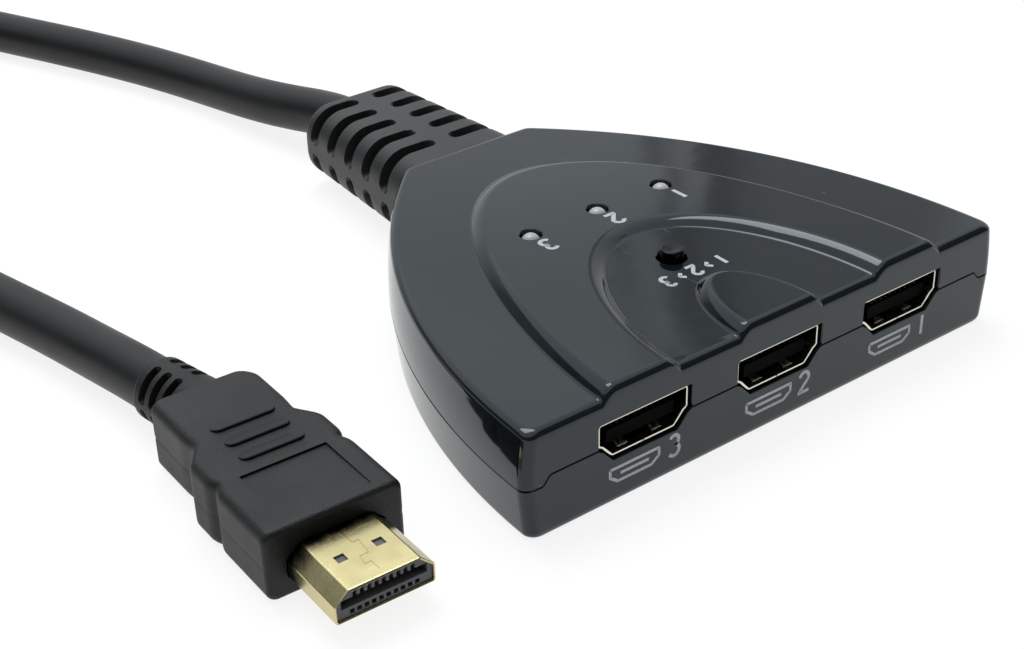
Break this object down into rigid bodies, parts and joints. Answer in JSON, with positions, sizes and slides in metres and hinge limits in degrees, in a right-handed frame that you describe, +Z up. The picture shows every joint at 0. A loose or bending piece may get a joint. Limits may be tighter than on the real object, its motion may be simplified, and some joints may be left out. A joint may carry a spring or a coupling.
{
  "type": "hdmi switch box",
  "caption": "Flat fan-shaped video switch box with a row of sockets, a select button, status lamps and a captive lead that leaves through a slotted boot and ends in a plug.",
  "frame": {"origin": "centre of the case's base, on the surface that it rests on", "axes": "+X along the row of sockets, +Y from the sockets to the lead, +Z up through the button"},
  "size_m": [0.1578, 0.254, 0.0181],
  "materials": {
    "case_plastic": "glossy black moulded plastic",
    "button_plastic": "matt black",
    "lamp_resin": "clear to milky resin",
    "socket_nickel": "nickel-plated sheet steel",
    "insulator_plastic": "matt black",
    "contact_gold": "thin gold plating",
    "plug_gilt": "pale gold plating",
    "plug_insert": "dark grey",
    "inner_moulding": "unseen inner moulding",
    "soft_moulding": "soft black vinyl, satin",
    "cord_jacket": "black vinyl jacket, satin",
    "screw_steel": "zinc-plated",
    "tinned_lead": "tinned",
    "board_laminate": "green solder mask",
    "capacitor_ceramic": "plain",
    "wire_insulation": "plain"
  },
  "bodies": {
    "housing": {"top_cover": "case_plastic", "bottom_case": "case_plastic", "case_screws": "screw_steel", "circuit_board": "board_laminate", "socket_shell_1": "socket_nickel", "socket_shell_2": "socket_nickel", "socket_shell_3": "socket_nickel", "socket_tongue_1": "insulator_plastic", "socket_tongue_2": "insulator_plastic", "socket_tongue_3": "insulator_plastic", "socket_contacts_1": "contact_gold", "socket_contacts_2": "contact_gold", "socket_contacts_3": "contact_gold", "lamp_lens_1": "lamp_resin", "lamp_lens_2": "lamp_resin", "lamp_lens_3": "lamp_resin", "lamp_leads": "tinned_lead", "switch_base": "insulator_plastic", "switch_frame": "screw_steel", "switch_pins": "tinned_lead", "snap_dome": "screw_steel", "switching_chip": "insulator_plastic", "chip_leads": "tinned_lead", "capacitors": "capacitor_ceramic", "resistors": "insulator_plastic", "lead_wires": "wire_insulation", "boot": "soft_moulding", "cord": "cord_jacket", "plug_grip": "soft_moulding", "plug_core": "inner_moulding", "plug_shell": "plug_gilt", "plug_insulator": "plug_insert", "plug_contacts": "contact_gold"},
    "button": {"select_button": "button_plastic"}
  },
  "joints": [
    {"name": "button_press", "type": "slide", "parent": "housing", "child": "button", "axis": [0, 0, -1], "range_m": [0, 0.00025], "stiffness_N_per_m": 4000, "springref_m": -0.0001, "deforming": ["snap_dome"]}
  ]
}
